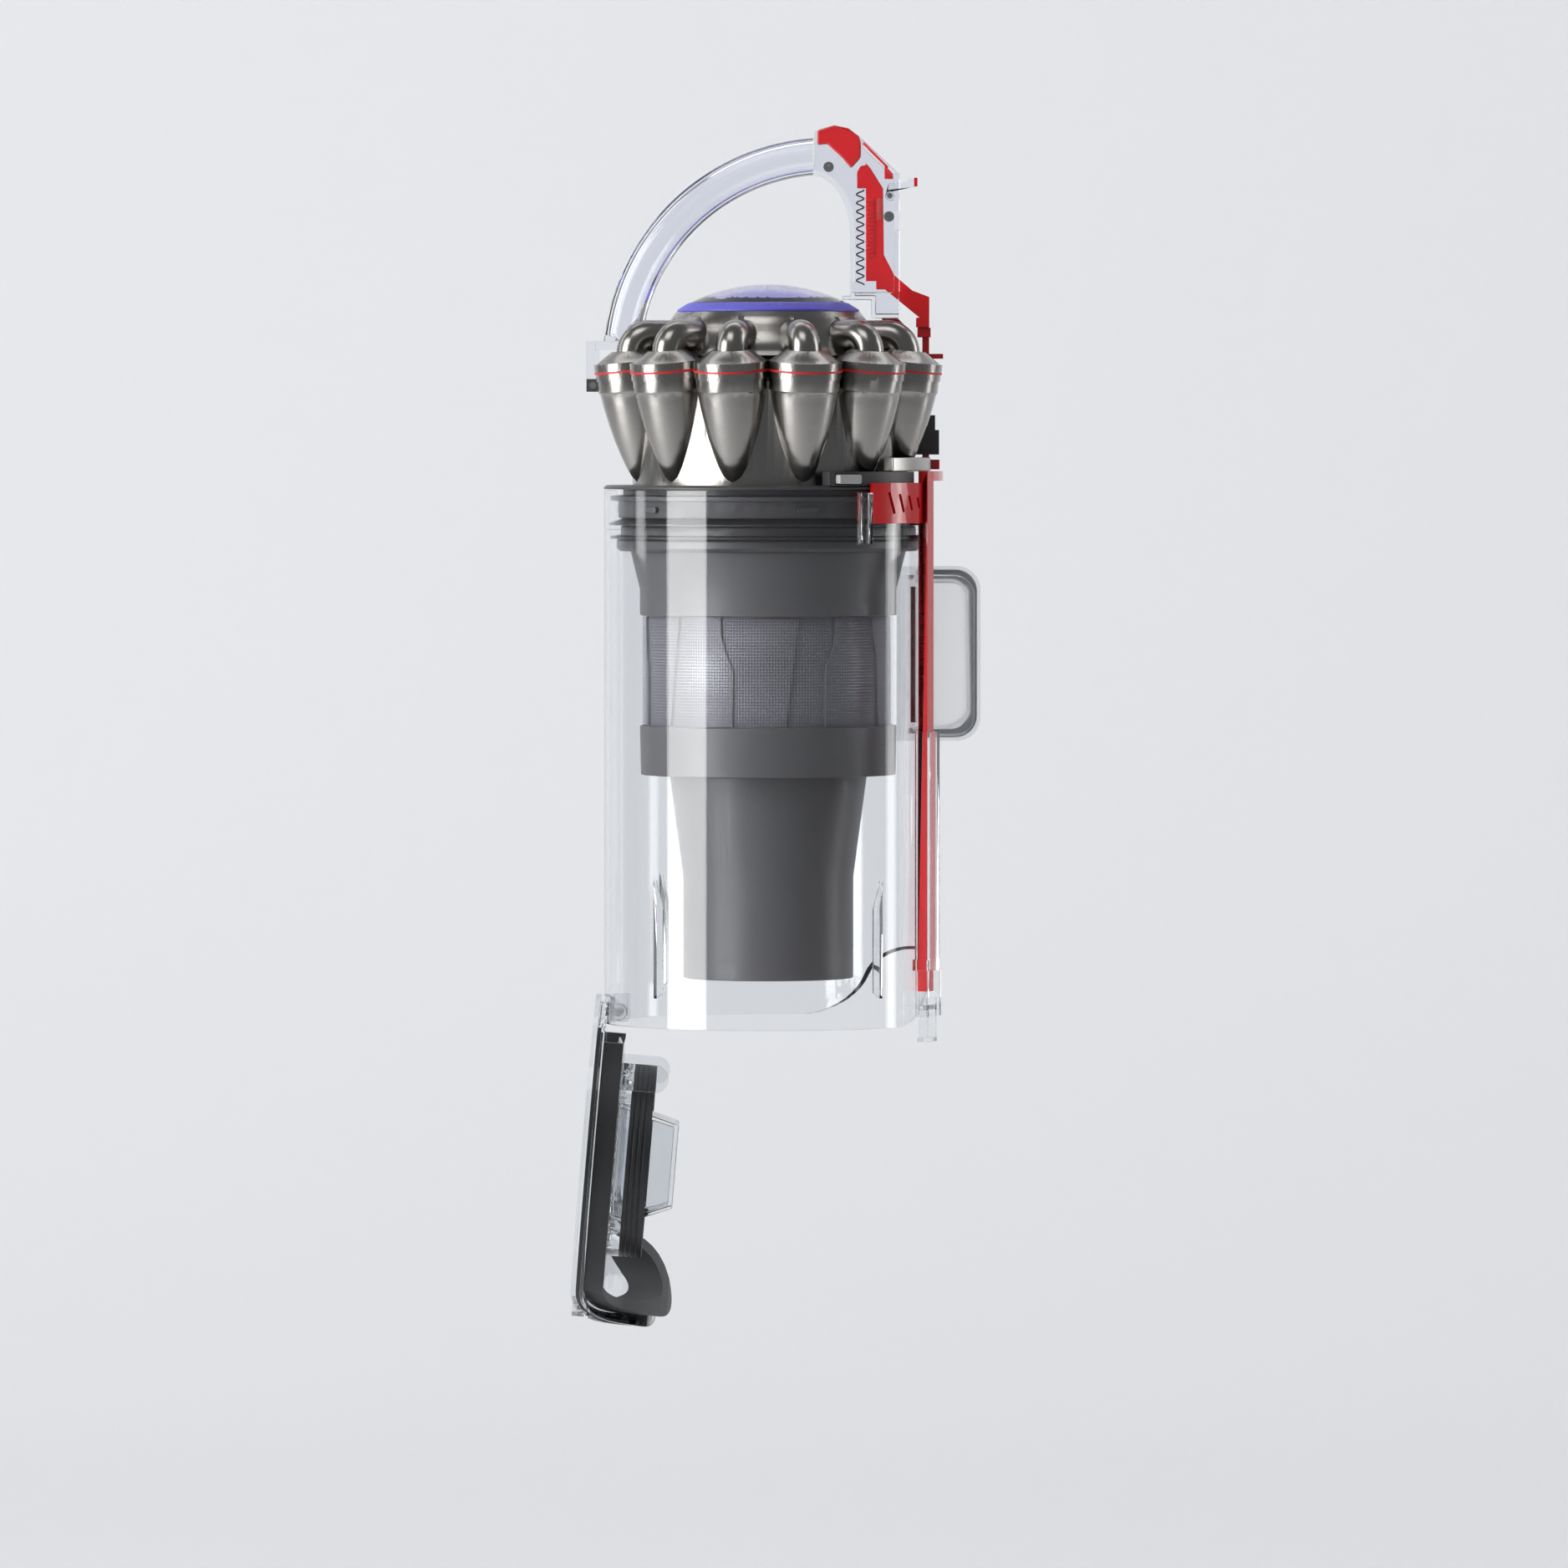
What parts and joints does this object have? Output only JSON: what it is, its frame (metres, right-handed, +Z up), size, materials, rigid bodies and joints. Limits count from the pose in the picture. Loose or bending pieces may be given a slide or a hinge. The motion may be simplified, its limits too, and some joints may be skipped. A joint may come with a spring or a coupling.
{
  "type": "cyclonic dust bin of an upright vacuum cleaner",
  "caption": "Clear cylindrical dust bin under a ring of cyclone cones, with a curved clear carry handle, red trigger, push rod and hinged bottom door hanging open.",
  "frame": {"origin": "on the bin's axis, in the plane of its lower rim, where the bin seats on the machine", "axes": "+Z up along the bin's axis; +X towards the push rod and inlet duct; +Y towards the machine's back"},
  "size_m": [0.1668, 0.1412, 0.4888],
  "materials": {
    "clear_polycarbonate": "clear moulded, polished",
    "clear_handle": "clear moulded, faint violet",
    "lilac_clear_plastic": "clear moulded, lilac tint",
    "clear_mesh": "fine perforated screen",
    "black_rubber": "moulded, satin",
    "red_seal": "moulded, satin",
    "red_plastic": "moulded ABS, gloss",
    "dark_grey_plastic": "moulded, fine satin grain",
    "mid_grey_plastic": "moulded, satin",
    "light_grey_plastic": "moulded, satin",
    "satin_nickel_paint": "metallic lacquer on plastic, satin",
    "purple_seal": "moulded, satin",
    "purple_plastic": "moulded, satin",
    "filter_felt": "needled felt",
    "steel": "drawn, plain"
  },
  "bodies": {
    "pack": {"seal_collar": "dark_grey_plastic", "upper_lip_seal": "black_rubber", "lower_lip_seal": "black_rubber", "shroud_cap": "dark_grey_plastic", "shroud_mesh": "clear_mesh", "shroud_drum": "mid_grey_plastic", "shroud_skirt": "dark_grey_plastic", "dust_tube": "dark_grey_plastic", "collar_screws": "steel", "cone_pack": "satin_nickel_paint", "cone_gasket": "red_seal", "cap_plate": "satin_nickel_paint", "vortex_finders": "dark_grey_plastic", "elbow_ducts": "satin_nickel_paint", "manifold": "satin_nickel_paint", "catch_housing": "dark_grey_plastic", "release_bar": "light_grey_plastic", "button_spring": "steel", "rod_bracket": "dark_grey_plastic", "filter_seal": "purple_seal", "filter_frame": "purple_plastic", "filter_felt": "filter_felt", "handle_hinge_pin": "steel"},
    "handle": {"filter_lid": "lilac_clear_plastic", "carry_handle": "clear_handle", "handle_foot": "clear_handle", "mechanism_housing": "clear_handle", "lid_bridge": "clear_handle", "lid_catch": "red_plastic", "return_spring": "steel", "hook_pin": "steel", "housing_screws": "steel"},
    "trigger": {"trigger_button": "red_plastic", "push_slide": "red_plastic"},
    "hook": {"rear_hook": "clear_handle"},
    "transfer": {"transfer_rod": "red_plastic"},
    "button": {"release_button": "light_grey_plastic"},
    "bin": {"clear_bin": "clear_polycarbonate", "inlet_duct": "clear_polycarbonate", "inlet_seal": "black_rubber", "rod_channel": "clear_polycarbonate", "rod_guide": "clear_polycarbonate", "bin_hinge_bracket": "clear_polycarbonate", "hinge_pin": "steel", "catch_pin": "steel"},
    "rod": {"push_rod": "red_plastic"},
    "catch": {"door_catch": "clear_polycarbonate"},
    "door": {"door_shell": "clear_polycarbonate", "door_gasket": "black_rubber", "door_rim_seal": "black_rubber", "door_inner_plate": "clear_polycarbonate", "door_ribs": "clear_polycarbonate", "tube_seal": "black_rubber", "door_dome": "clear_polycarbonate", "end_seal": "black_rubber", "door_hinge_eyes": "clear_polycarbonate"}
  },
  "joints": [
    {"name": "handle_open", "type": "hinge", "parent": "pack", "child": "handle", "pos_m": [-0.0712, 0, 0.2591], "axis": [0, -1, 0], "range_deg": [0, 95]},
    {"name": "trigger_press", "type": "slide", "parent": "handle", "child": "trigger", "axis": [0, 0, -1], "range_m": [0, 0.005], "stiffness_N_per_m": 300, "springref_m": -0.003, "deforming": ["return_spring"]},
    {"name": "hook_tilt", "type": "hinge", "parent": "handle", "child": "hook", "pos_m": [0.0494, 0, 0.336], "axis": [0, 1, 0], "range_deg": [0, 9]},
    {"name": "transfer_slide", "type": "slide", "parent": "pack", "child": "transfer", "axis": [0, 0, -1], "range_m": [0, 0.005]},
    {"name": "button_press", "type": "slide", "parent": "pack", "child": "button", "axis": [-0.4772, 0.8788, 0], "range_m": [0, 0.0025], "stiffness_N_per_m": 300, "springref_m": -0.002, "deforming": ["button_spring"]},
    {"name": "bin_pull", "type": "slide", "parent": "pack", "child": "bin", "axis": [0, 0, -1], "range_m": [0, 0.2]},
    {"name": "rod_slide", "type": "slide", "parent": "bin", "child": "rod", "axis": [0, 0, -1], "range_m": [0, 0.005]},
    {"name": "catch_tilt", "type": "hinge", "parent": "bin", "child": "catch", "pos_m": [0.06471, -0.02747, 0.0074], "axis": [-0.3907, -0.9205, 0], "range_deg": [0, 20]},
    {"name": "door_swing", "type": "hinge", "parent": "bin", "child": "door", "pos_m": [-0.0605, 0, 0.0045], "axis": [0, 1, 0], "range_deg": [-94.8, 3]}
  ],
  "couplings": [
    {"joint": "hook_tilt", "follows": "trigger_press", "rad_per_m": 31.416},
    {"joint": "transfer_slide", "follows": "trigger_press", "ratio": 1},
    {"joint": "rod_slide", "follows": "trigger_press", "ratio": 1},
    {"joint": "catch_tilt", "follows": "trigger_press", "rad_per_m": 69.813}
  ]
}
